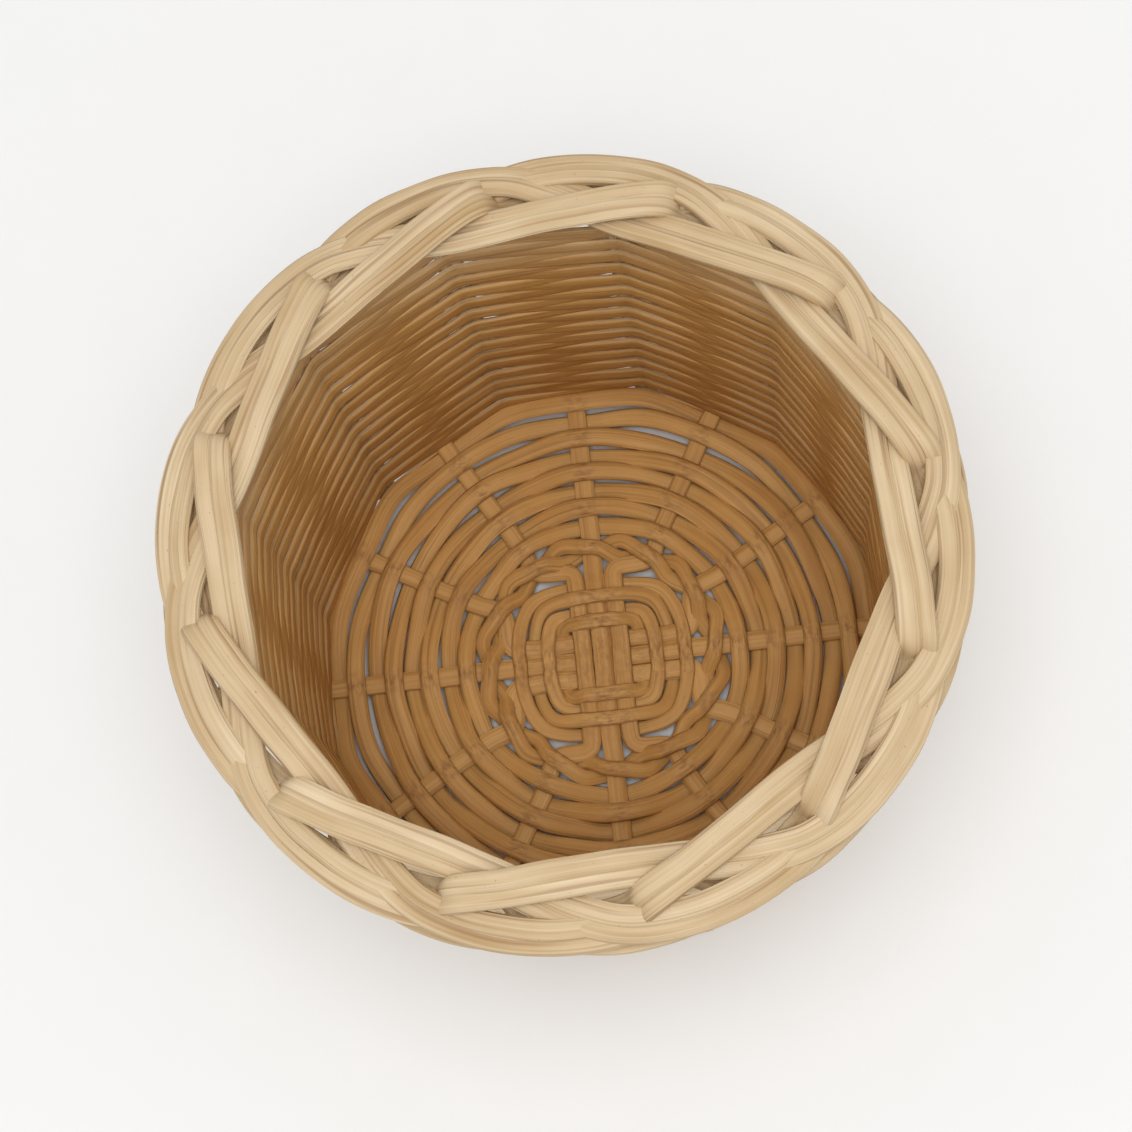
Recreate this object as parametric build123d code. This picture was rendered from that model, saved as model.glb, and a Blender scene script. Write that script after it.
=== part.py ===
from build123d import *
import math
import os

# A round wastebasket woven from peeled cane. Millimetres, +Z up.
# The floor is z = 0 and the basket's axis is the Z axis.

# ---------------------------------------------------------------- sizes
basket_height = 210.0
rim_diameter = 260.0

# Distance from the axis to the stakes, at the floor and at the top of the wall
wall_base_radius = 105.5
wall_top_radius = 108.0

# Both the base and the wall are divided into this many equal parts
part_count = 12
first_spoke_angle = 7.0

# Wall
course_count = 30
weaver_thickness = 2.2
foot_course_height = 5.8

# Stakes, two to a pair
stake_diameter = 4.4
border_height = 21.0

# Base
stick_width = 6.2
stick_thickness = 3.0
stick_end_past_wall = 2.0
row_count = 8
row_width = 5.6
row_thickness = 2.6
first_row_radius = 53.6
pairing_radius = 43.5
pairing_width = 4.4
tie_count = 4
tie_width = 3.8
tie_thickness = 2.2
tie_pitch = 4.0

# Gap left between any two canes that touch
weave_gap = 0.12

# ---------------------------------------------------------------- derived
part_angle = 360.0 / part_count
first_stake_angle = first_spoke_angle + part_angle / 2
half_part = math.radians(part_angle / 2)

stake_spacing = stake_diameter + weave_gap
pair_half_width = stake_spacing / 2 + stake_diameter / 2

wall_top = basket_height - border_height
spoke_level = foot_course_height + weave_gap + stick_thickness / 2
first_course_floor = spoke_level + stick_thickness / 2 + weave_gap
course_pitch = (wall_top - first_course_floor) / course_count
course_height = course_pitch - weave_gap

# The weavers pass a stake at a slant, so they stand off a little more than touching
slant_allowance = 1.1
weave_offset = (stake_diameter / 2 + weaver_thickness / 2 + weave_gap) * slant_allowance


def wall_radius(z):
    """Distance from the axis to the stakes at height z."""
    return wall_base_radius + (wall_top_radius - wall_base_radius) * z / wall_top


def inner_wall_flat(z):
    """Distance from the axis to the nearest face of the wall at height z."""
    corner = wall_radius(z) - weave_offset
    return corner * math.cos(half_part) - weaver_thickness / 2 - weave_gap


def polar(radius, angle, z):
    """Point at a radius, an angle in degrees and a height."""
    turn = math.radians(angle)
    return Vector(radius * math.cos(turn), radius * math.sin(turn), z)


# ---------------------------------------------------------------- cane
def flat_cane_section(width, thickness):
    """Flat-oval outline of a split cane, drawn on the XY plane."""
    corner = thickness * 0.3
    outline = Rectangle(width, thickness)
    return chamfer(outline.vertices(), corner)


def round_cane_section(diameter):
    """Eight-sided outline of a round cane, drawn on the XY plane."""
    return RegularPolygon(diameter / 2, 8)


def bent_cane(points, section):
    """Open length of cane through the points."""
    path = Polyline(*points)
    start = Plane(origin=path @ 0, x_dir=(0, 0, 1), z_dir=path % 0)
    if abs((path % 0).Z) > 0.9:
        start = Plane(origin=path @ 0, z_dir=path % 0)
    return sweep(start * section, path=path, transition=Transition.RIGHT)


def level_cane(points, width, thickness):
    """Open length of flat cane through the points, its flat side level."""
    sections = []
    for index, here in enumerate(points):
        before = points[max(index - 1, 0)]
        after = points[min(index + 1, len(points) - 1)]
        coming = Vector(here.X - before.X, here.Y - before.Y, 0)
        going = Vector(after.X - here.X, after.Y - here.Y, 0)
        if coming.length == 0:
            coming = going
        if going.length == 0:
            going = coming
        coming = coming.normalized()
        ahead = (coming + going.normalized()).normalized()
        joint = Plane(origin=here, x_dir=ahead.cross(Vector(0, 0, 1)), z_dir=ahead)
        sections.append(joint * flat_cane_section(width / ahead.dot(coming), thickness))
    return loft(sections, ruled=True)


def level_cane_ring(points, width, thickness):
    """Length of flat cane bent round through the points until its two ends meet."""
    ahead = (points[0] - points[-1]).normalized()
    meeting = (points[0] + points[-1]) / 2
    first = meeting + ahead * (weave_gap / 2)
    last = meeting - ahead * (weave_gap / 2)
    return level_cane([first] + points + [last], width, thickness)


# ---------------------------------------------------------------- wall
def weave_corners(z, parity):
    """Corners of one wall course: outside one stake pair, inside the next."""
    corners = []
    for index in range(part_count):
        side = 1 if (index + parity) % 2 == 0 else -1
        middle = first_stake_angle + index * part_angle
        radius = wall_radius(z) + side * weave_offset
        turn = math.degrees(stake_spacing / 2 / radius)
        corners.append(polar(radius, middle - turn, 0))
        corners.append(polar(radius, middle + turn, 0))
    return corners


def shifted_outline(corners, shift):
    """The same closed outline with every side moved outward by shift."""
    count = len(corners)
    moved = []
    for index in range(count):
        before = corners[index - 1]
        here = corners[index]
        after = corners[(index + 1) % count]
        side_in = (here - before).normalized()
        side_out = (after - here).normalized()
        out_in = Vector(side_in.Y, -side_in.X)
        out_out = Vector(side_out.Y, -side_out.X)
        joint = (out_in + out_out).normalized()
        moved.append(here + joint * (shift / joint.dot(out_in)))
    return moved


def wall_course(floor, height, parity):
    """One strand woven round the stakes and closed on itself."""
    corners = weave_corners(floor + height / 2, parity)
    half = weaver_thickness / 2
    outside = make_face(Polyline(*shifted_outline(corners, half), close=True))
    inside = make_face(Polyline(*shifted_outline(corners, -half), close=True))
    band = extrude(outside - inside, height)
    edges = band.edges().filter_by(Plane.XY)
    band = chamfer(edges, weaver_thickness * 0.25)
    return Pos(0, 0, floor) * band


# ---------------------------------------------------------------- stakes and border
def border_turns():
    """Middle line of a stake pair in the border.

    Each row is the angle past the pair's own place in the wall, the radius,
    and the height above the wall.
    """
    outer = rim_diameter / 2 - pair_half_width
    layer = stake_diameter + weave_gap
    first = stake_diameter / 2 + weave_gap + 0.3
    second = first + layer
    third = second + layer + 0.25
    top = border_height - stake_diameter / 2
    wall = wall_top_radius
    return [
        (0.4, wall + 4.5, first),
        (4.0, wall + 9.5, first),
        (9.0, wall + 14.5, first),
        (15.0, outer, first),
        (22.0, outer - 0.5, first + 0.4),
        (27.5, outer - 3.0, second - 1.2),
        (32.0, outer - 7.5, second + 0.2),
        (37.0, wall + 5.2, second + 0.2),
        (41.5, wall + 2.6, second + 0.3),
        (45.5, wall + 2.4, second + 3.0),
        (49.0, wall + 3.6, top - 2.6),
        (53.0, wall + 4.4, top - 0.2),
        (60.0, wall + 3.0, top),
        (70.0, wall - 2.0, top),
        (76.0, wall - 5.0, top - 1.2),
        (83.0, wall - 6.0, third + 1.4),
        (90.0, wall - 3.0, third + 0.1),
        (97.0, wall + 4.6, third + 0.1),
        (103.0, wall + 11.8, third + 0.1),
        (109.0, outer - 1.6, third),
        (119.0, outer - 0.6, third),
        (127.0, outer - 1.6, third - 0.8),
    ]


def stake_line(turn, side):
    """Middle line of one stake: up the wall, then along the border.

    side is +1 for the stake that leads round the border on the inside of the
    pair and -1 for its twin.
    """
    lean = math.degrees(stake_spacing / 2 / wall_top_radius) * side
    points = [
        polar(wall_base_radius, turn + lean, weave_gap),
        polar(wall_top_radius, turn + lean, wall_top + stake_diameter / 2),
    ]
    middle = [polar(radius, turn + angle, wall_top + lift) for angle, radius, lift in border_turns()]
    root = polar(wall_top_radius, turn, wall_top)
    for index, here in enumerate(middle):
        before = middle[index - 1] if index else root
        after = middle[min(index + 1, len(middle) - 1)]
        ahead = Vector(after.X - before.X, after.Y - before.Y, 0).normalized()
        beside = Vector(-ahead.Y, ahead.X, 0)
        points.append(here + beside * (side * stake_spacing / 2))
    return points


def stake_pair(turn):
    """Two stakes side by side, with the border that they turn into."""
    section = round_cane_section(stake_diameter)
    return [bent_cane(stake_line(turn, side), section) for side in (1, -1)]


# ---------------------------------------------------------------- base
group_half = 1.5 * (stick_width + weave_gap)

# A strand lies level over this share of a stick's width, to each side of its middle
crossing_share = 0.3


def tie_reach(index):
    """Distance from the middle of the base to one side of a tie round."""
    return group_half + tie_width / 2 + 1.2 + index * tie_pitch


def base_stick(offset, upper):
    """One stick of the base cross, lying along Y, offset places from the middle one."""
    lift = (stick_thickness + weave_gap) / 2
    if not upper:
        lift = -lift
    end = wall_radius(spoke_level) * math.cos(half_part) + weaver_thickness / 2 + stick_end_past_wall
    spread = 90.0 - offset * part_angle
    beside = offset * (stick_width + weave_gap)
    opening = tie_reach(tie_count - 1) + tie_width / 2 + weave_gap
    half = [
        polar(end, spread, spoke_level),
        polar(pairing_radius, spread, spoke_level),
        Vector(beside, opening, spoke_level + lift),
    ]
    points = half + [Vector(p.X, -p.Y, p.Z) for p in reversed(half)]
    return level_cane(points, stick_width, stick_thickness)


def tie_round(index):
    """Square round that binds the cross, over one pair of arms and under the other."""
    reach = tie_reach(index)
    cross_lift = (stick_thickness + weave_gap) / 2
    touch = (stick_thickness + tie_thickness) / 2 + weave_gap
    over_upper = cross_lift + touch
    under_upper = cross_lift - touch
    if index % 2 == 0:
        lift_upper, lift_lower = over_upper, -over_upper
    else:
        lift_upper, lift_lower = under_upper, -under_upper
    edge = group_half + 0.4 + index * tie_pitch * math.tan(math.radians(22.5))
    points = []
    for quarter in range(4):
        near, far = (lift_lower, lift_upper) if quarter % 2 == 0 else (lift_upper, lift_lower)
        leaving = Vector(reach, edge, spoke_level + near)
        arriving = Vector(edge, reach, spoke_level + far)
        points.append(leaving.rotate(Axis.Z, 90.0 * quarter))
        points.append(arriving.rotate(Axis.Z, 90.0 * quarter))
    return level_cane_ring(points, tie_width, tie_thickness)


def pairing_strand(parity):
    """One of two strands that twist round each other between the spokes."""
    rise = (stick_thickness + row_thickness) / 2 + 0.95
    swing = pairing_width * 0.78
    turn = math.degrees(stick_width * crossing_share / pairing_radius)
    points = []
    for index in range(part_count):
        side = 1 if (index + parity) % 2 == 0 else -1
        angle = index * part_angle
        level = spoke_level + side * rise
        points.append(polar(pairing_radius, angle - turn, level))
        points.append(polar(pairing_radius, angle + turn, level))
        points.append(polar(pairing_radius + side * swing, angle + part_angle / 2, spoke_level))
    return level_cane_ring(points, pairing_width, row_thickness)


def base_row(index):
    """One row of plain weave, over one spoke and under the next."""
    last_radius = inner_wall_flat(0) - row_width / 2
    pitch = (last_radius - first_row_radius) / (row_count - 1)
    radius = first_row_radius + index * pitch
    rise = (stick_thickness + row_thickness) / 2 + 0.6
    points = []
    for spoke in range(part_count):
        side = 1 if (spoke + index) % 2 == 0 else -1
        turn = math.degrees(stick_width * crossing_share / radius)
        for shift in (-turn, turn):
            points.append(polar(radius, spoke * part_angle + shift, spoke_level + side * rise))
    return level_cane_ring(points, row_width, row_thickness)


# ---------------------------------------------------------------- assembly
def save(name, solids):
    """Write one named piece, or several alike, to its own file."""
    whole = Compound(children=[Part(s.wrapped) if not isinstance(s, Solid) else s for s in solids])
    export_step(whole, os.path.join("parts", name + ".step"))


def build():
    os.makedirs("parts", exist_ok=True)
    base_turn = Rot(0, 0, first_spoke_angle)
    quarter_turn = Rot(0, 0, 90)
    for number, offset in enumerate((-1, 0, 1), start=1):
        upper = base_turn * base_stick(offset, True)
        save(f"base_stick_upper_{number}", [upper])
        lower = base_turn * quarter_turn * base_stick(offset, False)
        save(f"base_stick_lower_{number}", [lower])
    for index in range(tie_count):
        save(f"tie_round_{index + 1}", [base_turn * tie_round(index)])
    for parity in range(2):
        save(f"pairing_strand_{parity + 1}", [base_turn * pairing_strand(parity)])
    for index in range(row_count):
        save(f"base_row_{index + 1}", [base_turn * base_row(index)])
    for index in range(part_count):
        turn = first_stake_angle + index * part_angle
        save(f"stake_pair_{index + 1:02d}", stake_pair(turn))
    save("wall_foot_course", [wall_course(0, foot_course_height, 1)])
    for pair in range(course_count // 2):
        courses = []
        for step in (0, 1):
            index = 2 * pair + step
            floor = first_course_floor + index * course_pitch
            courses.append(wall_course(floor, course_height, index % 2))
        save(f"wall_courses_{pair + 1:02d}", courses)


build()
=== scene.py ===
import math

import bpy
import numpy as np
from mathutils import Matrix, Vector


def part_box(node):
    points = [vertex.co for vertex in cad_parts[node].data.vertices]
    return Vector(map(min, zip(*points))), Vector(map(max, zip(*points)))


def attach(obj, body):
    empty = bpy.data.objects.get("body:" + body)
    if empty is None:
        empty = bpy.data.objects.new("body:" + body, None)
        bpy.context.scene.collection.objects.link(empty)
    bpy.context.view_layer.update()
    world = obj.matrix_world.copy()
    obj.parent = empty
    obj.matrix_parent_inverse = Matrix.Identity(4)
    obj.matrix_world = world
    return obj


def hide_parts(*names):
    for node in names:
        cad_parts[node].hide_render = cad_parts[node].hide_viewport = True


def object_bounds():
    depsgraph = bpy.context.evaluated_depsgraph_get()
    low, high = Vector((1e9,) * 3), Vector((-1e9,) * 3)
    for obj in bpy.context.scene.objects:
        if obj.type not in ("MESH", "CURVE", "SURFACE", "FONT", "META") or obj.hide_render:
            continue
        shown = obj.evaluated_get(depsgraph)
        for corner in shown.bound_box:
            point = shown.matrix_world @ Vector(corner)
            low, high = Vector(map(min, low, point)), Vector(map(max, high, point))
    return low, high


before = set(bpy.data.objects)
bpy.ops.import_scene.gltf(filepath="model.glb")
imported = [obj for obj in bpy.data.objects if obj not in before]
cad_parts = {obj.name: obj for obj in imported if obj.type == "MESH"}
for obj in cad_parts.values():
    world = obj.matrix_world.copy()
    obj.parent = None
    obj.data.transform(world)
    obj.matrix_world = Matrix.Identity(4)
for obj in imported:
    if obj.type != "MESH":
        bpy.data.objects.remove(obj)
cad_low, cad_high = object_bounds()

bl_info = {
    "name": "Woven Wastebasket",
    "version": (1, 0, 0),
    "blender": (4, 5, 0),
    "location": "View3D > Sidebar > Wastebasket",
    "description": "Weaves the canes of a round wastebasket around its frame",
    "category": "Object",
}

# The basket is divided into this many equal parts, each with one spoke and one stake pair
PART_COUNT = 12
PART_TURN = 2 * math.pi / PART_COUNT
FIRST_SPOKE_TURN = math.radians(7.0)
FIRST_STAKE_TURN = FIRST_SPOKE_TURN + PART_TURN / 2

# Heights that the frame gives
BASKET_HEIGHT = cad_high.z
SPOKE_LEVEL = (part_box("base_stick_upper_1")[0].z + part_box("base_stick_lower_1")[1].z) / 2
WALL_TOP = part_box("wall_courses_15")[1].z
BORDER_HEIGHT = BASKET_HEIGHT - WALL_TOP

# The wall's canes spread upward by this much, so that the border rests on them
WALL_RISE = 1.012

MM = 0.001

# How many rows the base has, and how many frame nodes hold the wall's courses
BASE_ROWS = 8
WALL_NODES = 15

# Half the rise from one layer of the base cross to the other, in stick thicknesses
LAYER_SHARE = 0.52

TIE_THICKNESS = 2.7 * MM
TIE_STAND_OFF = 1.15 * MM
PAIRING_WIDTH = 5.8 * MM
PAIRING_SWING = 3.1 * MM
FOOT_COURSE_WIDTH = 7.2 * MM

# Width of a wall cane in shares of its course, so that it closes up on its neighbours
COURSE_FILL = 1.28

# Place of the middle of each stake, to each side of the middle of its pair
STAKE_SPREAD = 2.25 * MM
STRAND_SPREAD = 2.55 * MM

# First number of the random draws for each kind of cane
SEED_CROSS = 100
SEED_TIES = 200
SEED_PAIRING = 300
SEED_ROWS = 400
SEED_FOOT = 500
SEED_WALL = 510
SEED_STAKES = 700

# The lamp hangs over the front of the basket and the camera looks down into it
SKY_STRENGTH = 0.8
LAMP_PLACE = (0.10, -0.26, 1.7)
LAMP_WIDTH = 0.8
LAMP_POWER = 11.0
CAMERA_PLACE = (0.0831, -0.2207, 1.1712)
CAMERA_RIGHT = (0.99667, 0.01751, -0.07966)
CAMERA_ABOVE = (0.0, 0.97667, 0.21472)
CAMERA_BEHIND = (0.08156, -0.21401, 0.97342)
CAMERA_LENS = 101.8


# ---------------------------------------------------------------- lines
def polar(radius, turn, level):
    """Point at a radius, a turn in radians and a height."""
    return (radius * math.cos(turn), radius * math.sin(turn), level)


def wander(random, distance, wave):
    """Slow wandering of about -1 to 1 along a distance."""
    total = np.zeros(len(distance))
    for share, strength in ((1.0, 0.6), (0.43, 0.3), (0.21, 0.15)):
        phase = random.uniform(0, 2 * math.pi)
        total += strength * np.sin(2 * math.pi * distance / (wave * share) + phase)
    return total


def smooth_line(rows, closed, step):
    """Even steps along a smooth line through the rows.

    The first three numbers of a row are its place. Any others ride along it.
    """
    rows = np.array(rows, float)
    places = rows[:, :3]
    if closed:
        padded = np.vstack([places[-1:], places, places[:2]])
        spans = len(rows)
    else:
        first = 2 * places[0] - places[1]
        last = 2 * places[-1] - places[-2]
        padded = np.vstack([first, places, last])
        spans = len(rows) - 1
    share = np.linspace(0, 1, 14)[:-1][:, None]
    drawn = []
    carried = []
    for span in range(spans):
        a, b, c, d = padded[span : span + 4]
        before, here, after = (np.linalg.norm(q - p) + 1e-9 for p, q in ((a, b), (b, c), (c, d)))
        leave = ((b - a) / before * here + (c - b) / here * before) / (before + here)
        arrive = ((c - b) / here * after + (d - c) / after * here) / (here + after)
        square, cube = share**2, share**3
        drawn.append(
            (2 * cube - 3 * square + 1) * b
            + (cube - 2 * square + share) * here * leave
            + (3 * square - 2 * cube) * c
            + (cube - square) * here * arrive
        )
        following = rows[(span + 1) % len(rows), 3:]
        carried.append((1 - share) * rows[span, 3:] + share * following)
    if closed:
        drawn.append(places[:1])
        carried.append(rows[:1, 3:])
    else:
        drawn.append(places[-1:])
        carried.append(rows[-1:, 3:])
    table = np.hstack([np.vstack(drawn), np.vstack(carried)])
    strides = np.linalg.norm(np.diff(table[:, :3], axis=0), axis=1)
    distance = np.concatenate([[0], np.cumsum(strides)])
    count = max(8, round(distance[-1] / step))
    even = np.linspace(0, distance[-1], count + 1)
    return np.column_stack([np.interp(even, distance, column) for column in table.T]), even


def directions(places, closed):
    """Unit direction of travel at each place."""
    if closed:
        ring = places[:-1]
        ahead = np.roll(ring, -1, axis=0) - np.roll(ring, 1, axis=0)
        ahead = np.vstack([ahead, ahead[:1]])
    else:
        ahead = np.gradient(places, axis=0)
    return ahead / np.linalg.norm(ahead, axis=1)[:, None]


def across(ahead, face):
    """Flat side and edge directions of a cane that travels ahead with its flat side near face."""
    flat = face - np.sum(face * ahead, axis=1)[:, None] * ahead
    flat = flat / np.linalg.norm(flat, axis=1)[:, None]
    return flat, np.cross(ahead, flat)


# ---------------------------------------------------------------- cane
def deselect_all():
    if bpy.context.object is not None and bpy.context.object.mode != "OBJECT":
        bpy.ops.object.mode_set(mode="OBJECT")
    bpy.ops.object.select_all(action="DESELECT")


def mark_points(mesh, name, values):
    """Number at every point of a mesh, for its finish to read."""
    layer = mesh.attributes.new(name, "FLOAT", "POINT")
    layer.data.foreach_set("value", values.astype(np.float32))


def close_cane(closed):
    """Merges the seam of the cane in hand, caps open ends and turns its faces outward."""
    bpy.ops.object.mode_set(mode="EDIT")
    bpy.ops.mesh.select_all(action="SELECT")
    bpy.ops.mesh.remove_doubles(threshold=1e-6)
    if not closed:
        bpy.ops.mesh.select_all(action="SELECT")
        bpy.ops.mesh.fill_holes(sides=0)
    bpy.ops.mesh.select_all(action="SELECT")
    bpy.ops.mesh.normals_make_consistent(inside=False)
    bpy.ops.object.mode_set(mode="OBJECT")
    bpy.ops.object.shade_smooth_by_angle(angle=math.radians(55))


def weave_cane(
    name,
    line,
    distance,
    face,
    width,
    thickness,
    closed,
    random,
    sides=14,
    squareness=2.6,
    flutes=0.03,
    scuff=None,
    cut_slant=0.0,
    swell=0.05,
    painted_shade_side=0.0,
    painted_shade=0.0,
):
    """One cane: a grid wrapped round a line, closed along its seam and at its ends.

    The side argument of the painted shade is 1 where painted shade, standing in for the shade and warm
    bounce light inside the basket, darkens the side that faces up or out, and -1 where it darkens the other
    side. The amount argument of the painted shade is how much.
    """
    deselect_all()
    length_steps = len(line) - 1
    bpy.ops.mesh.primitive_grid_add(
        x_subdivisions=length_steps, y_subdivisions=sides, size=2, calc_uvs=True, location=(0, 0, 0)
    )
    cane = bpy.context.object
    cane.name = name
    mesh = cane.data
    mesh.name = name
    flat_grid = np.empty(len(mesh.vertices) * 3)
    mesh.vertices.foreach_get("co", flat_grid)
    flat_grid = flat_grid.reshape(-1, 3)
    along = np.rint((flat_grid[:, 0] + 1) / 2 * length_steps).astype(int)
    around = np.rint((flat_grid[:, 1] + 1) / 2 * sides).astype(int)

    ahead = directions(line, closed)
    flat, edge = across(ahead, face)
    total = distance[-1]
    if closed:
        ring = 2 * math.pi * distance / total
        pulse = 0.6 * np.sin(ring * random.integers(5, 9) + random.uniform(0, 6))
        pulse += 0.5 * np.sin(ring * random.integers(11, 19) + random.uniform(0, 6))
        twist = 0.5 * np.sin(ring * random.integers(3, 6) + random.uniform(0, 6))
    else:
        pulse = wander(random, distance, 0.11)
        twist = 0.6 * wander(random, distance, 0.16)
    half_width = width / 2 * (1 + swell * pulse)
    half_thickness = thickness / 2 * (1 - swell * 0.8 * pulse)
    scale = np.ones(len(line))
    if not closed:
        for index, share in enumerate((0.84, 0.95, 0.985)):
            scale[index] = share
            scale[-1 - index] = share

    turn = 2 * math.pi * (around % sides) / sides
    power = 2 / squareness
    cosine, sine = np.cos(turn), np.sin(turn)
    wide = np.sign(cosine) * np.abs(cosine) ** power
    thick = np.sign(sine) * np.abs(sine) ** power
    ridge = np.zeros(len(turn))
    for waves in (5, 7, 9):
        phase = random.uniform(0, 2 * math.pi)
        ridge += np.sin(waves * turn + phase + twist[along]) * random.uniform(0.5, 1.0)
    swellings = (1 + flutes * ridge) * scale[along]
    place = (
        line[along]
        + edge[along] * (wide * half_width[along] * swellings)[:, None]
        + flat[along] * (thick * half_thickness[along] * swellings)[:, None]
    )
    if cut_slant and not closed:
        end = along == length_steps
        place[end] += ahead[along[end]] * (cut_slant * wide[end] * half_width[along[end]])[:, None]
    mesh.vertices.foreach_set("co", place.astype(np.float32).ravel())

    corners = np.empty(len(mesh.loops), int)
    mesh.loops.foreach_get("vertex_index", corners)
    girth = math.pi * float(np.mean(width + thickness)) / 2
    strand_offset = random.uniform(0, 1)
    chart = np.column_stack([
        distance[along[corners]] + strand_offset,
        girth * around[corners] / sides + strand_offset,
    ])
    mesh.uv_layers[0].name = "cane"
    mesh.uv_layers[0].data.foreach_set("uv", chart.astype(np.float32).ravel())

    mark_points(mesh, "tone", np.full(len(along), random.uniform(0, 1)))
    marks = np.zeros(len(line)) if scuff is None else scuff
    mark_points(mesh, "scuff", marks[along])
    # Painted shade: a share at every point, highest on the shaded side, that darkens and warms the colour
    # in place of the shade and bounce light inside the basket
    facing = np.clip(0.5 + 0.9 * painted_shade_side * thick, 0, 1)
    mark_points(mesh, "painted_shade", painted_shade * facing)

    close_cane(closed)
    return cane


# Material that each finish of the frame is shown with
GRAINED = {
    "base_cane": "grained_base_cane",
    "wall_cane": "grained_wall_cane",
    "border_cane": "grained_border_cane",
}


def finish_cane(cane, node, material):
    """The cane rides on the basket, stands for its frame node and takes its finish."""
    cane.data.materials.clear()
    cane.data.materials.append(bpy.data.materials[GRAINED[material]])
    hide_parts(node)
    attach(cane, "root")


# ---------------------------------------------------------------- finishes
def socket(group, name, kind, way, default=None, low=None, high=None):
    made = group.interface.new_socket(name=name, in_out=way, socket_type=kind)
    if default is not None:
        made.default_value = default
    if low is not None:
        made.min_value = low
    if high is not None:
        made.max_value = high
    return made


class Wiring:
    """Adds nodes to a tree and joins them up."""

    def __init__(self, tree):
        self.tree = tree

    def node(self, kind, **settings):
        made = self.tree.nodes.new(kind)
        for name, value in settings.items():
            setattr(made, name, value)
        return made

    def feed(self, target, value):
        if isinstance(value, bpy.types.NodeSocket):
            self.tree.links.new(value, target)
        else:
            target.default_value = value

    def math(self, operation, first, second=0.0, clamp=False):
        made = self.node("ShaderNodeMath", operation=operation, use_clamp=clamp)
        self.feed(made.inputs[0], first)
        self.feed(made.inputs[1], second)
        return made.outputs[0]

    def noise(self, vector, scale, detail=2.0, roughness=0.5):
        made = self.node("ShaderNodeTexNoise", noise_dimensions="3D")
        self.feed(made.inputs["Vector"], vector)
        made.inputs["Scale"].default_value = scale
        made.inputs["Detail"].default_value = detail
        made.inputs["Roughness"].default_value = roughness
        return made.outputs["Fac"]

    def stretch(self, vector, scale):
        made = self.node("ShaderNodeMapping")
        self.feed(made.inputs["Vector"], vector)
        made.inputs["Scale"].default_value = scale
        return made.outputs["Vector"]

    def span(self, value, low, high, to_low=0.0, to_high=1.0):
        made = self.node("ShaderNodeMapRange", clamp=True)
        self.feed(made.inputs["Value"], value)
        for name, number in (
            ("From Min", low),
            ("From Max", high),
            ("To Min", to_low),
            ("To Max", to_high),
        ):
            self.feed(made.inputs[name], number)
        return made.outputs["Result"]

    def mix(self, share, first, second, blend="MIX"):
        made = self.node("ShaderNodeMix", data_type="RGBA", blend_type=blend)
        factor = next(s for s in made.inputs if s.identifier == "Factor_Float")
        start = next(s for s in made.inputs if s.identifier == "A_Color")
        end = next(s for s in made.inputs if s.identifier == "B_Color")
        self.feed(factor, share)
        self.feed(start, first)
        self.feed(end, second)
        return next(s for s in made.outputs if s.identifier == "Result_Color")


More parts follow.
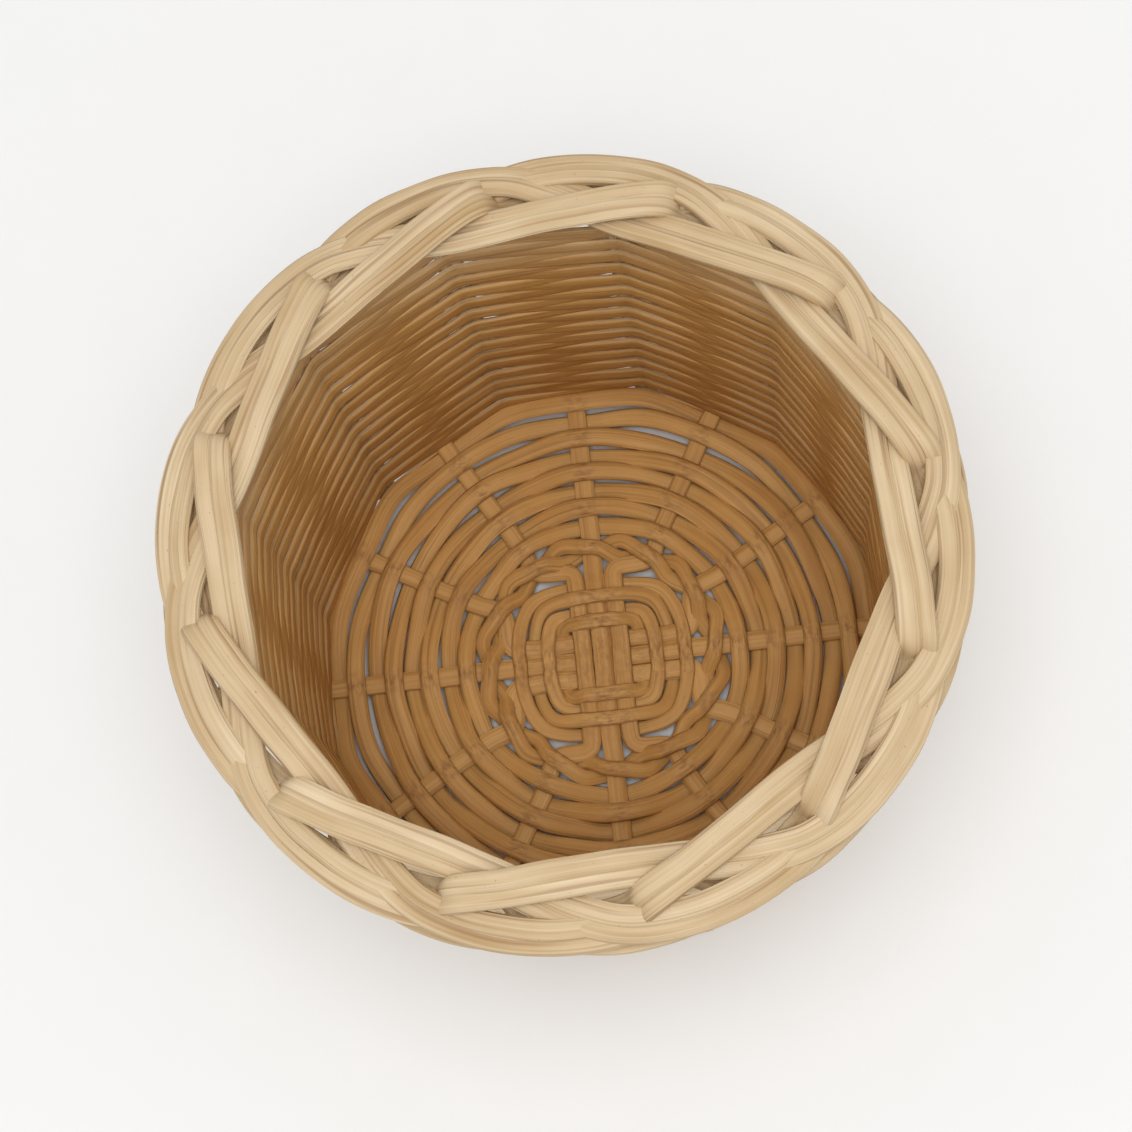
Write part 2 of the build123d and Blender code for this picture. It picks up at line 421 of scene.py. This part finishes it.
def make_cane_grain():
    """Node group with the fibres, tone, specks and scuffs of peeled cane, and the painted shade multiplied
    into its colour.
    """
    group = bpy.data.node_groups.new("cane grain", "ShaderNodeTree")
    socket(group, "Pale", "NodeSocketColor", "INPUT", (0.7, 0.55, 0.35, 1))
    socket(group, "Deep", "NodeSocketColor", "INPUT", (0.5, 0.35, 0.18, 1))
    # Tint of the painted shade, multiplied into the colour inside the basket
    socket(group, "Painted Shade Tint", "NodeSocketColor", "INPUT", (1, 0.8, 0.5, 1))
    socket(group, "Fibre", "NodeSocketColor", "INPUT", (0.3, 0.17, 0.07, 1))
    socket(group, "Fibre Strength", "NodeSocketFloat", "INPUT", 0.4, 0, 1)
    socket(group, "Speck Strength", "NodeSocketFloat", "INPUT", 0.5, 0, 1)
    socket(group, "Scuff Strength", "NodeSocketFloat", "INPUT", 0.5, 0, 1)
    socket(group, "Color", "NodeSocketColor", "OUTPUT")
    socket(group, "Height", "NodeSocketFloat", "OUTPUT")
    socket(group, "Roughness", "NodeSocketFloat", "OUTPUT")
    wiring = Wiring(group)
    taken = wiring.node("NodeGroupInput").outputs
    given = wiring.node("NodeGroupOutput").inputs

    chart = wiring.node("ShaderNodeUVMap", uv_map="cane").outputs["UV"]
    strand = wiring.node("ShaderNodeAttribute", attribute_name="tone").outputs["Fac"]
    scuff = wiring.node("ShaderNodeAttribute", attribute_name="scuff").outputs["Fac"]
    # Share of painted shade at each point
    painted_shade = wiring.node("ShaderNodeAttribute", attribute_name="painted_shade").outputs["Fac"]

    # Each pattern is stretched by its waves per metre along the cane and across it
    fine = wiring.noise(wiring.stretch(chart, (9, 1500, 1)), 1.0, 2.0, 0.6)
    broad = wiring.noise(wiring.stretch(chart, (6, 520, 1)), 1.0, 2.0, 0.5)
    dark = wiring.noise(wiring.stretch(chart, (12, 900, 1)), 1.0, 1.0, 0.4)
    cloud = wiring.noise(wiring.stretch(chart, (26, 90, 1)), 1.0, 3.0, 0.55)
    speck = wiring.noise(wiring.stretch(chart, (700, 1500, 1)), 1.0, 1.0, 0.4)
    rub = wiring.noise(wiring.stretch(chart, (260, 700, 1)), 1.0, 3.0, 0.6)

    half_fine = wiring.math("MULTIPLY", fine, 0.5)
    half_broad = wiring.math("MULTIPLY", broad, 0.5)
    lines = wiring.math("ADD", half_fine, half_broad)
    depth = wiring.span(lines, 0.38, 0.62)
    tone = wiring.math("MULTIPLY", strand, 0.28)
    tone = wiring.math("ADD", tone, wiring.span(cloud, 0.35, 0.7, 0.0, 0.35))
    tone = wiring.math("ADD", tone, wiring.math("MULTIPLY", depth, 0.5), clamp=True)
    colour = wiring.mix(tone, taken["Pale"], taken["Deep"])
    # Painted shade: where the share is set, the shade tint multiplies the colour darker and warmer
    colour = wiring.mix(painted_shade, colour, taken["Painted Shade Tint"], "MULTIPLY")
    streak = wiring.span(dark, 0.58, 0.70)
    streak = wiring.math("MULTIPLY", streak, taken["Fibre Strength"])
    colour = wiring.mix(streak, colour, taken["Fibre"])
    dots = wiring.math("MULTIPLY", wiring.span(speck, 0.735, 0.8), taken["Speck Strength"])
    colour = wiring.mix(dots, colour, taken["Fibre"])
    rubbed = wiring.math("MULTIPLY", scuff, wiring.span(rub, 0.42, 0.66))
    rubbed = wiring.math("MULTIPLY", rubbed, taken["Scuff Strength"])
    colour = wiring.mix(rubbed, colour, taken["Fibre"])
    wiring.feed(given["Color"], colour)

    height = wiring.math("SUBTRACT", 1.0, depth)
    height = wiring.math("SUBTRACT", height, wiring.math("MULTIPLY", streak, 0.6))
    height = wiring.math("SUBTRACT", height, wiring.math("MULTIPLY", rubbed, 0.5))
    wiring.feed(given["Height"], height)
    wiring.feed(given["Roughness"], wiring.span(lines, 0.3, 0.7, 0.40, 0.62))
    return group


def make_cane_material(name, pale, deep, warm, strengths, relief):
    """One cane finish, with its own colours on the shared grain."""
    material = bpy.data.materials.new(GRAINED[name])
    material.use_nodes = True
    tree = material.node_tree
    wiring = Wiring(tree)
    shader = tree.nodes["Principled BSDF"]
    grain = wiring.node("ShaderNodeGroup", node_tree=bpy.data.node_groups["cane grain"])
    tints = (("Pale", pale), ("Deep", deep), ("Painted Shade Tint", warm), ("Fibre", colours().fibre))
    for place, tint in tints:
        grain.inputs[place].default_value = (*tint, 1)
    for place, strength in zip(("Fibre Strength", "Speck Strength", "Scuff Strength"), strengths):
        grain.inputs[place].default_value = strength
    wiring.feed(shader.inputs["Base Color"], grain.outputs["Color"])
    wiring.feed(shader.inputs["Roughness"], grain.outputs["Roughness"])
    bump = wiring.node("ShaderNodeBump")
    bump.inputs["Strength"].default_value = relief
    bump.inputs["Distance"].default_value = 0.0004
    wiring.feed(bump.inputs["Height"], grain.outputs["Height"])
    wiring.feed(shader.inputs["Normal"], bump.outputs["Normal"])
    shader.inputs["Specular IOR Level"].default_value = 0.25
    shader.inputs["Metallic"].default_value = 0.0
    material.diffuse_color = (*pale, 1)
    return material


# ---------------------------------------------------------------- settings
def length(name, description, millimetres):
    return bpy.props.FloatProperty(
        name=name,
        description=description,
        default=millimetres * MM,
        min=0.0,
        unit="LENGTH",
        subtype="DISTANCE",
    )


def colour(name, description, default):
    return bpy.props.FloatVectorProperty(
        name=name,
        description=description,
        default=default,
        min=0.0,
        max=1.0,
        size=3,
        subtype="COLOR",
    )


class BasketSizes(bpy.types.PropertyGroup):
    stick_width: length("Stick width", "Width of a stick of the base cross", 6.9)
    stick_thickness: length("Stick thickness", "Thickness of a stick of the base cross", 3.0)
    stick_spread: length("Stick spacing", "Distance between sticks side by side in the cross", 7.0)
    tie_width: length("Tie width", "Width of the rounds that bind the cross", 5.4)
    row_width: length("Row width", "Width of the canes woven round the base", 6.9)
    row_thickness: length("Row thickness", "Thickness of the canes woven round the base", 3.9)
    first_row_radius: length("First row radius", "Radius of the innermost row of the base", 51.0)
    last_row_radius: length("Last row radius", "Radius of the outermost row of the base", 98.4)
    pairing_radius: length("Pairing radius", "Radius of the twisted pair round the cross", 42.0)
    wall_foot_radius: length("Wall foot radius", "Distance from the axis to the stakes at the floor", 105.5)
    wall_top_radius: length("Wall top radius", "Distance from the axis to the stakes at the top", 108.0)
    weaver_thickness: length("Weaver thickness", "Thickness of the canes woven round the wall", 2.2)
    weaver_swing: length("Weaver swing", "How far a wall cane stands off the stakes", 1.15)
    stake_width: length("Stake width", "Width of one stake in the wall", 4.4)
    stake_thickness: length("Stake thickness", "Thickness of one stake in the wall", 1.2)
    strand_width: length("Border strand width", "Width of one stake in the border", 7.1)
    strand_thickness: length("Border strand thickness", "Thickness of one stake in the border", 3.6)


class BasketColours(bpy.types.PropertyGroup):
    border_pale: colour("Border pale", "Palest cane of the border", (0.71, 0.565, 0.37))
    border_deep: colour("Border deep", "Deepest cane of the border", (0.46, 0.305, 0.145))
    # Tint of painted shade; the border's canes carry no painted shade, so it shows nowhere
    border_painted_shade: colour("Border warm", "Tint of the border where it has darkened", (0.95, 0.85, 0.65))
    wall_pale: colour("Wall pale", "Palest cane of the wall", (0.70, 0.545, 0.345))
    wall_deep: colour("Wall deep", "Deepest cane of the wall", (0.48, 0.32, 0.155))
    # Tint of painted shade, for the shade and bounce light on the inner side of the wall
    wall_painted_shade: colour("Wall warm", "Tint of the wall where it has darkened", (1.0, 0.765, 0.42))
    base_pale: colour("Base pale", "Palest cane of the base", (0.76, 0.57, 0.34))
    base_deep: colour("Base deep", "Deepest cane of the base", (0.54, 0.345, 0.165))
    # Tint of painted shade, for the shade and bounce light on the upper side of the base
    base_painted_shade: colour("Base warm", "Tint of the base where it has darkened", (1.0, 0.80, 0.47))
    fibre: colour("Fibre", "Dark fibres and scuffs", (0.25, 0.115, 0.04))
    floor: colour("Floor", "Floor that the basket stands on", (0.84, 0.84, 0.84))


def sizes():
    return bpy.context.scene.basket_sizes


def colours():
    return bpy.context.scene.basket_colours


# ---------------------------------------------------------------- pieces
UP = np.array([0.0, 0.0, 1.0])


def upward(line):
    return np.tile(UP, (len(line), 1))


def outward(line):
    flat = line * (1, 1, 0)
    return flat / np.linalg.norm(flat, axis=1)[:, None]


def marks_at(line, turns, reach):
    """Share of 0 to 1 near each turn round the basket, over a reach in metres."""
    turn = np.arctan2(line[:, 1], line[:, 0])
    radius = np.hypot(line[:, 0], line[:, 1])
    marks = np.zeros(len(line))
    for middle in turns:
        gap = np.abs((turn - middle + math.pi) % (2 * math.pi) - math.pi) * radius
        marks = np.maximum(marks, np.clip(1 - gap / reach, 0, 1))
    return marks


def spoke_turn(spoke):
    return FIRST_SPOKE_TURN + spoke * PART_TURN


def spokes_passed_over(parity):
    """Turns of the spokes that a cane of the base lies on top of."""
    return [spoke_turn(spoke) for spoke in range(PART_COUNT) if (spoke + parity) % 2 == 0]


def spun(points, turn):
    """Points turned about the basket's axis."""
    turned = Matrix.Rotation(turn, 3, "Z")
    return [tuple(turned @ Vector(p)) for p in points]


class BASKET_OT_finishes(bpy.types.Operator):
    """Makes the cane finishes of the base, the wall and the border"""

    bl_idname = "basket.finishes"
    bl_label = "Cane Finishes"

    def execute(self, context):
        make_cane_grain()
        tint = colours()
        base = (tint.base_pale, tint.base_deep, tint.base_painted_shade)
        wall = (tint.wall_pale, tint.wall_deep, tint.wall_painted_shade)
        border = (tint.border_pale, tint.border_deep, tint.border_painted_shade)
        make_cane_material("base_cane", *base, (0.35, 0.5, 0.75), relief=0.5)
        make_cane_material("wall_cane", *wall, (0.35, 0.35, 0.4), relief=0.5)
        make_cane_material("border_cane", *border, (0.5, 0.4, 0.5), relief=0.7)
        return {"FINISHED"}


class BASKET_OT_base_cross(bpy.types.Operator):
    """Lays the two groups of three sticks that cross in the middle of the base"""

    bl_idname = "basket.base_cross"
    bl_label = "Base Cross"

    def execute(self, context):
        size = sizes()
        layers = (("upper", 0, 1), ("lower", 1, -1))
        for layer, (node, quarter, lift) in enumerate(layers):
            for number, place in enumerate((-1, 0, 1), start=1):
                random = np.random.default_rng(SEED_CROSS + 10 * layer + number)
                beside = place * size.stick_spread
                raised = SPOKE_LEVEL + lift * size.stick_thickness * LAYER_SHARE
                turn = math.pi / 2 - place * PART_TURN
                reach = size.wall_foot_radius * math.cos(PART_TURN / 2) + 3 * MM
                half = [
                    polar(reach, turn, SPOKE_LEVEL),
                    polar(75 * MM, turn, SPOKE_LEVEL),
                    polar(52 * MM, turn, SPOKE_LEVEL),
                    polar(size.pairing_radius, turn - place * 0.02, SPOKE_LEVEL),
                    (beside * 1.1, 32.5 * MM, SPOKE_LEVEL + lift * 0.6 * MM),
                    (beside, 27 * MM, raised),
                    (beside, 9 * MM, raised),
                ]
                points = half + [(x, -y, z) for x, y, z in reversed(half)]
                points = spun(points, FIRST_SPOKE_TURN + quarter * math.pi / 2)
                line, distance = smooth_line(points, False, 2.0 * MM)
                line[:, 0] += 0.2 * MM * wander(random, distance, 0.05)
                line[:, 1] += 0.2 * MM * wander(random, distance, 0.06)
                scuff = 0.5 * np.exp(-((np.hypot(line[:, 0], line[:, 1]) / 0.03) ** 4))
                cane = weave_cane(
                    f"base_stick_{node}_{number}_cane",
                    line,
                    distance,
                    upward(line),
                    size.stick_width,
                    size.stick_thickness,
                    False,
                    random,
                    sides=18,
                    squareness=2.8,
                    flutes=0.03,
                    scuff=scuff,
                    cut_slant=0.3,
                    # Painted shade on the upper side, which faces into the basket
                    painted_shade_side=1.0,
                    painted_shade=1.0,
                )
                finish_cane(cane, f"base_stick_{node}_{number}", "base_cane")
        return {"FINISHED"}


# For each tie round: millimetres from the middle of the base over the upper sticks and
# over the lower sticks, and whether it lies on top of the upper ones
TIE_ROUNDS = (
    (13.6, 15.2, True),
    (17.6, 19.8, False),
    (22.9, 25.2, True),
    (27.6, 30.6, False),
)


class BASKET_OT_tie_rounds(bpy.types.Operator):
    """Binds the cross with rounds that pass over one arm and under the next"""

    bl_idname = "basket.tie_rounds"
    bl_label = "Tie Rounds"

    def execute(self, context):
        size = sizes()
        rise = size.stick_thickness * (LAYER_SHARE + 0.5) + TIE_STAND_OFF
        dip = rise - size.stick_thickness * LAYER_SHARE * 2
        for index, (upper_reach, lower_reach, on_top) in enumerate(TIE_ROUNDS):
            random = np.random.default_rng(SEED_TIES + index)
            upper_level = SPOKE_LEVEL + (rise if on_top else -dip)
            lower_level = SPOKE_LEVEL + (-rise if on_top else dip)
            corner = 10.2 * MM + index * 1.5 * MM
            points = []
            for quarter in range(4):
                over_upper = quarter % 2 == 1
                reach = (upper_reach if over_upper else lower_reach) * MM
                level = upper_level if over_upper else lower_level
                side = [
                    (reach, -corner * 0.62, level),
                    (reach + 0.2 * MM, 0, level),
                    (reach, corner * 0.62, level),
                ]
                points += spun(side, quarter * math.pi / 2)
                bend = ((upper_reach + lower_reach) / 2 * MM) * (0.90 - 0.025 * index)
                middle = (upper_level + lower_level) / 2
                points += spun([(bend, bend, middle)], quarter * math.pi / 2)
            points = spun(points, FIRST_SPOKE_TURN)
            line, distance = smooth_line(points, True, 1.3 * MM)
            crossings = [FIRST_SPOKE_TURN + quarter * math.pi / 2 for quarter in range(4)]
            cane = weave_cane(
                f"tie_round_{index + 1}_cane",
                line,
                distance,
                upward(line),
                size.tie_width,
                TIE_THICKNESS,
                True,
                random,
                sides=16,
                squareness=2.3,
                scuff=marks_at(line, crossings, 16 * MM),
                # Painted shade on the upper side, which faces into the basket
                painted_shade_side=1.0,
                painted_shade=1.0,
            )
            finish_cane(cane, f"tie_round_{index + 1}", "base_cane")
        return {"FINISHED"}


class BASKET_OT_pairing(bpy.types.Operator):
    """Twists two canes round each other between the spokes"""

    bl_idname = "basket.pairing"
    bl_label = "Pairing"

    def execute(self, context):
        size = sizes()
        rise = size.stick_thickness / 2 + size.row_thickness / 2 - 0.2 * MM
        for parity in range(2):
            random = np.random.default_rng(SEED_PAIRING + parity)
            points = []
            for spoke in range(PART_COUNT):
                side = 1 if (spoke + parity) % 2 == 0 else -1
                turn = spoke_turn(spoke)
                level = SPOKE_LEVEL + side * rise
                between = SPOKE_LEVEL + 0.3 * side * rise
                radius = size.pairing_radius
                points.append(polar(radius - 0.6 * MM * side, turn - 0.07, level))
                points.append(polar(radius + 0.8 * MM * side, turn + 0.09, level))
                points.append(polar(radius + PAIRING_SWING * side, turn + PART_TURN / 2, between))
            line, distance = smooth_line(points, True, 1.6 * MM)
            cane = weave_cane(
                f"pairing_strand_{parity + 1}_cane",
                line,
                distance,
                upward(line),
                PAIRING_WIDTH,
                size.row_thickness,
                True,
                random,
                sides=16,
                squareness=2.3,
                scuff=marks_at(line, spokes_passed_over(parity), 7 * MM),
                # Painted shade on the upper side, which faces into the basket
                painted_shade_side=1.0,
                painted_shade=1.0,
            )
            finish_cane(cane, f"pairing_strand_{parity + 1}", "base_cane")
        return {"FINISHED"}


class BASKET_OT_base_rows(bpy.types.Operator):
    """Weaves the rows of the base over and under the spokes"""

    bl_idname = "basket.base_rows"
    bl_label = "Base Rows"

    def execute(self, context):
        size = sizes()
        spread = size.last_row_radius - size.first_row_radius
        rise = size.stick_thickness / 2 + size.row_thickness / 2 - 0.15 * MM
        for index in range(BASE_ROWS):
            random = np.random.default_rng(SEED_ROWS + index)
            radius = size.first_row_radius + spread * index / (BASE_ROWS - 1)
            bow = 0.995 + 0.014 * max(0, index - 5)
            points = []
            for spoke in range(PART_COUNT):
                side = 1 if (spoke + index) % 2 == 0 else -1
                turn = spoke_turn(spoke)
                level = SPOKE_LEVEL + side * rise
                place = radius + random.uniform(-0.55, 0.55) * MM
                half = 2.6 * MM / radius
                points.append(polar(place, turn - half, level))
                points.append(polar(place, turn + half, level))
                slack = place * bow + random.uniform(-0.3, 0.3) * MM
                between = SPOKE_LEVEL + random.uniform(-0.2, 0.2) * MM
                points.append(polar(slack, turn + PART_TURN / 2, between))
            line, distance = smooth_line(points, True, 2.0 * MM)
            cane = weave_cane(
                f"base_row_{index + 1}_cane",
                line,
                distance,
                upward(line),
                size.row_width,
                size.row_thickness,
                True,
                random,
                sides=16,
                squareness=2.4,
                scuff=marks_at(line, spokes_passed_over(index), 6 * MM),
                # Painted shade on the upper side, which faces into the basket
                painted_shade_side=1.0,
                painted_shade=1.0,
            )
            finish_cane(cane, f"base_row_{index + 1}", "base_cane")
        return {"FINISHED"}


def wall_radius(level):
    """Distance from the axis to the stakes at a level."""
    size = sizes()
    flare = size.wall_top_radius - size.wall_foot_radius
    return size.wall_foot_radius + flare * level / WALL_TOP


def weave_wall_course(name, node, level, width, parity, seed):
    """One cane of the wall: outside one stake pair, inside the next, straight between."""
    size = sizes()
    random = np.random.default_rng(seed)
    radius = wall_radius(level)
    bend = 1.6 * MM / radius
    corners = []
    for stake in range(PART_COUNT):
        side = 1 if (stake + parity) % 2 == 0 else -1
        turn = FIRST_STAKE_TURN + stake * PART_TURN
        place = radius + side * size.weaver_swing + random.uniform(-0.2, 0.2) * MM
        height = level + random.uniform(-0.25, 0.25) * MM
        corners.append((polar(place, turn - bend, height), polar(place, turn + bend, height)))
    points = []
    for stake in range(PART_COUNT):
        here = corners[stake]
        following = corners[(stake + 1) % PART_COUNT]
        points += [here[0], here[1]]
        start, end = np.array(here[1]), np.array(following[0])
        out = (start + end) * (1, 1, 0)
        out = out / np.linalg.norm(out)
        for share, bow in ((0.06, 0.0), (0.3, 0.1), (0.7, 0.1), (0.94, 0.0)):
            bow += random.uniform(-0.1, 0.1)
            points.append(tuple(start + (end - start) * share + out * bow * MM))
    line, distance = smooth_line(points, True, 1.8 * MM)
    stakes = [FIRST_STAKE_TURN + stake * PART_TURN for stake in range(PART_COUNT)]
    # Painted shade on the inner side of the wall cane, weaker towards the rim where more light falls
    near_rim = min(1.0, max(0.0, (level / WALL_TOP - 0.78) / 0.22))
    cane = weave_cane(
        name,
        line,
        distance,
        outward(line),
        width,
        size.weaver_thickness,
        True,
        random,
        sides=14,
        squareness=3.6,
        flutes=0.022,
        scuff=marks_at(line, stakes, 4 * MM),
        swell=0.035,
        painted_shade_side=-1.0,
        painted_shade=1.0 - 0.55 * near_rim,
    )
    finish_cane(cane, node, "wall_cane")


class BASKET_OT_wall(bpy.types.Operator):
    """Weaves the courses of the wall round the stakes"""

    bl_idname = "basket.wall"
    bl_label = "Wall Courses"

    def execute(self, context):
        foot_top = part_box("base_stick_upper_1")[0].z
        foot = "wall_foot_course"
        weave_wall_course(f"{foot}_cane", foot, foot_top * 0.64, FOOT_COURSE_WIDTH, 1, SEED_FOOT)
        for pair in range(WALL_NODES):
            node = f"wall_courses_{pair + 1:02d}"
            low, high = (corner.z * WALL_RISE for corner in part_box(node))
            for step, word in enumerate(("lower", "upper")):
                level = low + (high - low) * (0.25 + 0.5 * step)
                width = (high - low) / 2 * COURSE_FILL
                if pair == 0 and step == 0:
                    level -= 0.5 * MM
                    width += 0.8 * MM
                seed = SEED_WALL + 2 * pair + step
                weave_wall_course(f"{node}_{word}_cane", node, level, width, step, seed)
        return {"FINISHED"}


# Middle line of a stake pair in the border: degrees past the pair's own place in the
# wall, millimetres out from the wall's top radius, share of the border's height, and
# how upright the pair stands there
BORDER_LINE = (
    (0.6, 3.0, 0.09, 0.0),
    (3.5, 7.4, 0.12, 0.0),
    (8.5, 11.8, 0.13, 0.0),
    (15.0, 14.6, 0.14, 0.0),
    (23.0, 15.0, 0.16, 0.0),
    (31.0, 13.8, 0.20, 0.0),
    (38.0, 11.4, 0.25, 0.0),
    (44.0, 9.6, 0.27, 0.0),
    (48.4, 8.6, 0.31, 0.35),
    (50.3, 8.2, 0.46, 0.9),
    (51.2, 7.8, 0.64, 1.0),
    (52.4, 7.0, 0.80, 0.6),
    (55.0, 5.0, 0.88, 0.15),
    (60.0, 2.0, 0.885, 0.0),
    (67.0, -1.4, 0.87, 0.0),
    (75.0, -3.2, 0.83, 0.0),
    (82.0, -3.2, 0.76, 0.0),
    (89.0, -1.2, 0.66, 0.0),
    (95.0, 2.8, 0.59, 0.0),
    (101.0, 7.8, 0.57, 0.0),
    (107.0, 12.0, 0.56, 0.0),
    (114.0, 14.4, 0.56, 0.0),
    (122.0, 15.2, 0.54, 0.0),
    (130.0, 14.8, 0.51, 0.0),
    (137.0, 13.2, 0.45, 0.0),
    (142.0, 10.8, 0.37, 0.0),
)


def border_rows(turn):
    """Rows of place and flat side along a stake pair, from the floor to its cut end."""
    size = sizes()
    rows = []

    def add(radius, angle, level, face):
        rows.append((*polar(radius, angle, level), *face))

    out = (math.cos(turn), math.sin(turn), 0.0)
    for share in (0.0, 0.25, 0.5, 0.75, 0.93):
        level = 0.3 * MM + share * (WALL_TOP - 0.3 * MM)
        add(wall_radius(level), turn, level, out)
    add(size.wall_top_radius + 0.5 * MM, turn + 0.001, WALL_TOP + 0.2 * MM, out)
    for index, (degrees, past, share, upright) in enumerate(BORDER_LINE):
        angle = turn + math.radians(degrees)
        bent = min(1.0, (index + 1) / 4)
        side = (math.cos(angle), math.sin(angle))
        tilt = 0.35 if past > 10 else 0.12
        lean = (1 - bent) + bent * -tilt
        face = (
            side[0] * lean - side[1] * upright,
            side[1] * lean + side[0] * upright,
            -bent * (1 - upright),
        )
        level = WALL_TOP + share * BORDER_HEIGHT
        add(size.wall_top_radius + past * MM, angle, level, face)
    return rows


class BASKET_OT_stakes(bpy.types.Operator):
    """Stands the stake pairs in the wall and plaits them into the border"""

    bl_idname = "basket.stakes"
    bl_label = "Stakes and Border"

    def execute(self, context):
        size = sizes()
        for pair in range(PART_COUNT):
            turn = FIRST_STAKE_TURN + pair * PART_TURN
            node = f"stake_pair_{pair + 1:02d}"
            for side, word in ((1, "leading"), (-1, "trailing")):
                random = np.random.default_rng(SEED_STAKES + 2 * pair + (side > 0))
                table, distance = smooth_line(border_rows(turn), False, 2.0 * MM)
                middle, face = table[:, :3], table[:, 3:6]
                ahead = directions(middle, False)
                flat, edge = across(ahead, face)
                in_border = np.clip((middle[:, 2] - WALL_TOP + 4 * MM) / (10 * MM), 0, 1)
                in_border = np.maximum.accumulate(in_border)
                spread = STAKE_SPREAD * (1 - in_border) + STRAND_SPREAD * in_border
                lift = -side * 0.35 * MM * in_border
                drift = 0.35 * MM * in_border
                line = (
                    middle
                    + edge * (side * spread + drift * wander(random, distance, 0.12))[:, None]
                    + flat * (lift + drift * wander(random, distance, 0.09))[:, None]
                )
                wider = size.strand_width - size.stake_width
                thicker = size.strand_thickness - size.stake_thickness
                width = size.stake_width + wider * in_border
                thickness = size.stake_thickness + thicker * in_border
                cane = weave_cane(
                    f"{node}_{word}_cane",
                    line,
                    distance,
                    face,
                    width,
                    thickness,
                    False,
                    random,
                    sides=26,
                    squareness=2.5,
                    flutes=0.035,
                    cut_slant=0.9,
                    swell=0.06,
                )
                finish_cane(cane, node, "border_cane")
        return {"FINISHED"}


class BASKET_OT_stage(bpy.types.Operator):
    """Lays the floor and sets up the light and the camera"""

    bl_idname = "basket.stage"
    bl_label = "Stage"

    def execute(self, context):
        deselect_all()
        scene = context.scene
        bpy.ops.mesh.primitive_circle_add(
            vertices=96, radius=6.0, fill_type="NGON", location=(0, 0, 0)
        )
        floor = context.object
        floor.name = "floor"
        material = bpy.data.materials.new("floor_paper")
        material.use_nodes = True
        wiring = Wiring(material.node_tree)
        shader = material.node_tree.nodes["Principled BSDF"]
        place = wiring.node("ShaderNodeTexCoord").outputs["Object"]
        mottle = wiring.noise(place, 40.0, 3.0)
        tint = colours().floor
        paler = [min(1.0, part * 1.02) for part in tint]
        white = wiring.mix(mottle, (*tint, 1), (*paler, 1))
        wiring.feed(shader.inputs["Base Color"], white)
        shader.inputs["Roughness"].default_value = 0.9
        floor.data.materials.append(material)

        world = bpy.data.worlds.new("soft_white")
        world.use_nodes = True
        sky = world.node_tree.nodes["Background"].inputs
        sky["Color"].default_value = (1, 1, 1, 1)
        sky["Strength"].default_value = SKY_STRENGTH
        scene.world = world

        deselect_all()
        bpy.ops.object.light_add(type="AREA", location=LAMP_PLACE)
        lamp = context.object
        lamp.name = "softbox"
        lamp.data.shape = "DISK"
        lamp.data.size = LAMP_WIDTH
        lamp.data.energy = LAMP_POWER

        deselect_all()
        bpy.ops.object.camera_add(location=CAMERA_PLACE)
        camera = context.object
        camera.name = "camera"
        aim = Matrix((CAMERA_RIGHT, CAMERA_ABOVE, CAMERA_BEHIND)).transposed()
        camera.rotation_euler = aim.to_euler()
        camera.data.sensor_width = 36
        camera.data.lens = CAMERA_LENS
        camera.data.clip_start = 0.01
        camera.data.clip_end = 50
        scene.camera = camera
        scene.view_settings.view_transform = "Standard"
        return {"FINISHED"}


class BASKET_PT_panel(bpy.types.Panel):
    """Lists the basket's pieces, sizes and colours"""

    bl_idname = "BASKET_PT_panel"
    bl_label = "Wastebasket"
    bl_space_type = "VIEW_3D"
    bl_region_type = "UI"
    bl_category = "Wastebasket"

    def draw(self, context):
        column = self.layout.column()
        for operator in OPERATORS:
            column.operator(operator.bl_idname)
        for group in (context.scene.basket_sizes, context.scene.basket_colours):
            for name in group.__annotations__:
                column.prop(group, name)


OPERATORS = (
    BASKET_OT_finishes,
    BASKET_OT_base_cross,
    BASKET_OT_tie_rounds,
    BASKET_OT_pairing,
    BASKET_OT_base_rows,
    BASKET_OT_wall,
    BASKET_OT_stakes,
    BASKET_OT_stage,
)
CLASSES = (BasketSizes, BasketColours, *OPERATORS, BASKET_PT_panel)


def register():
    for each in CLASSES:
        bpy.utils.register_class(each)
    bpy.types.Scene.basket_sizes = bpy.props.PointerProperty(type=BasketSizes)
    bpy.types.Scene.basket_colours = bpy.props.PointerProperty(type=BasketColours)


def unregister():
    del bpy.types.Scene.basket_colours
    del bpy.types.Scene.basket_sizes
    for each in reversed(CLASSES):
        bpy.utils.unregister_class(each)


def main():
    register()
    for operator in OPERATORS:
        family, name = operator.bl_idname.split(".")
        getattr(getattr(bpy.ops, family), name)()
    bpy.context.view_layer.update()


if __name__ == "__main__":
    main()
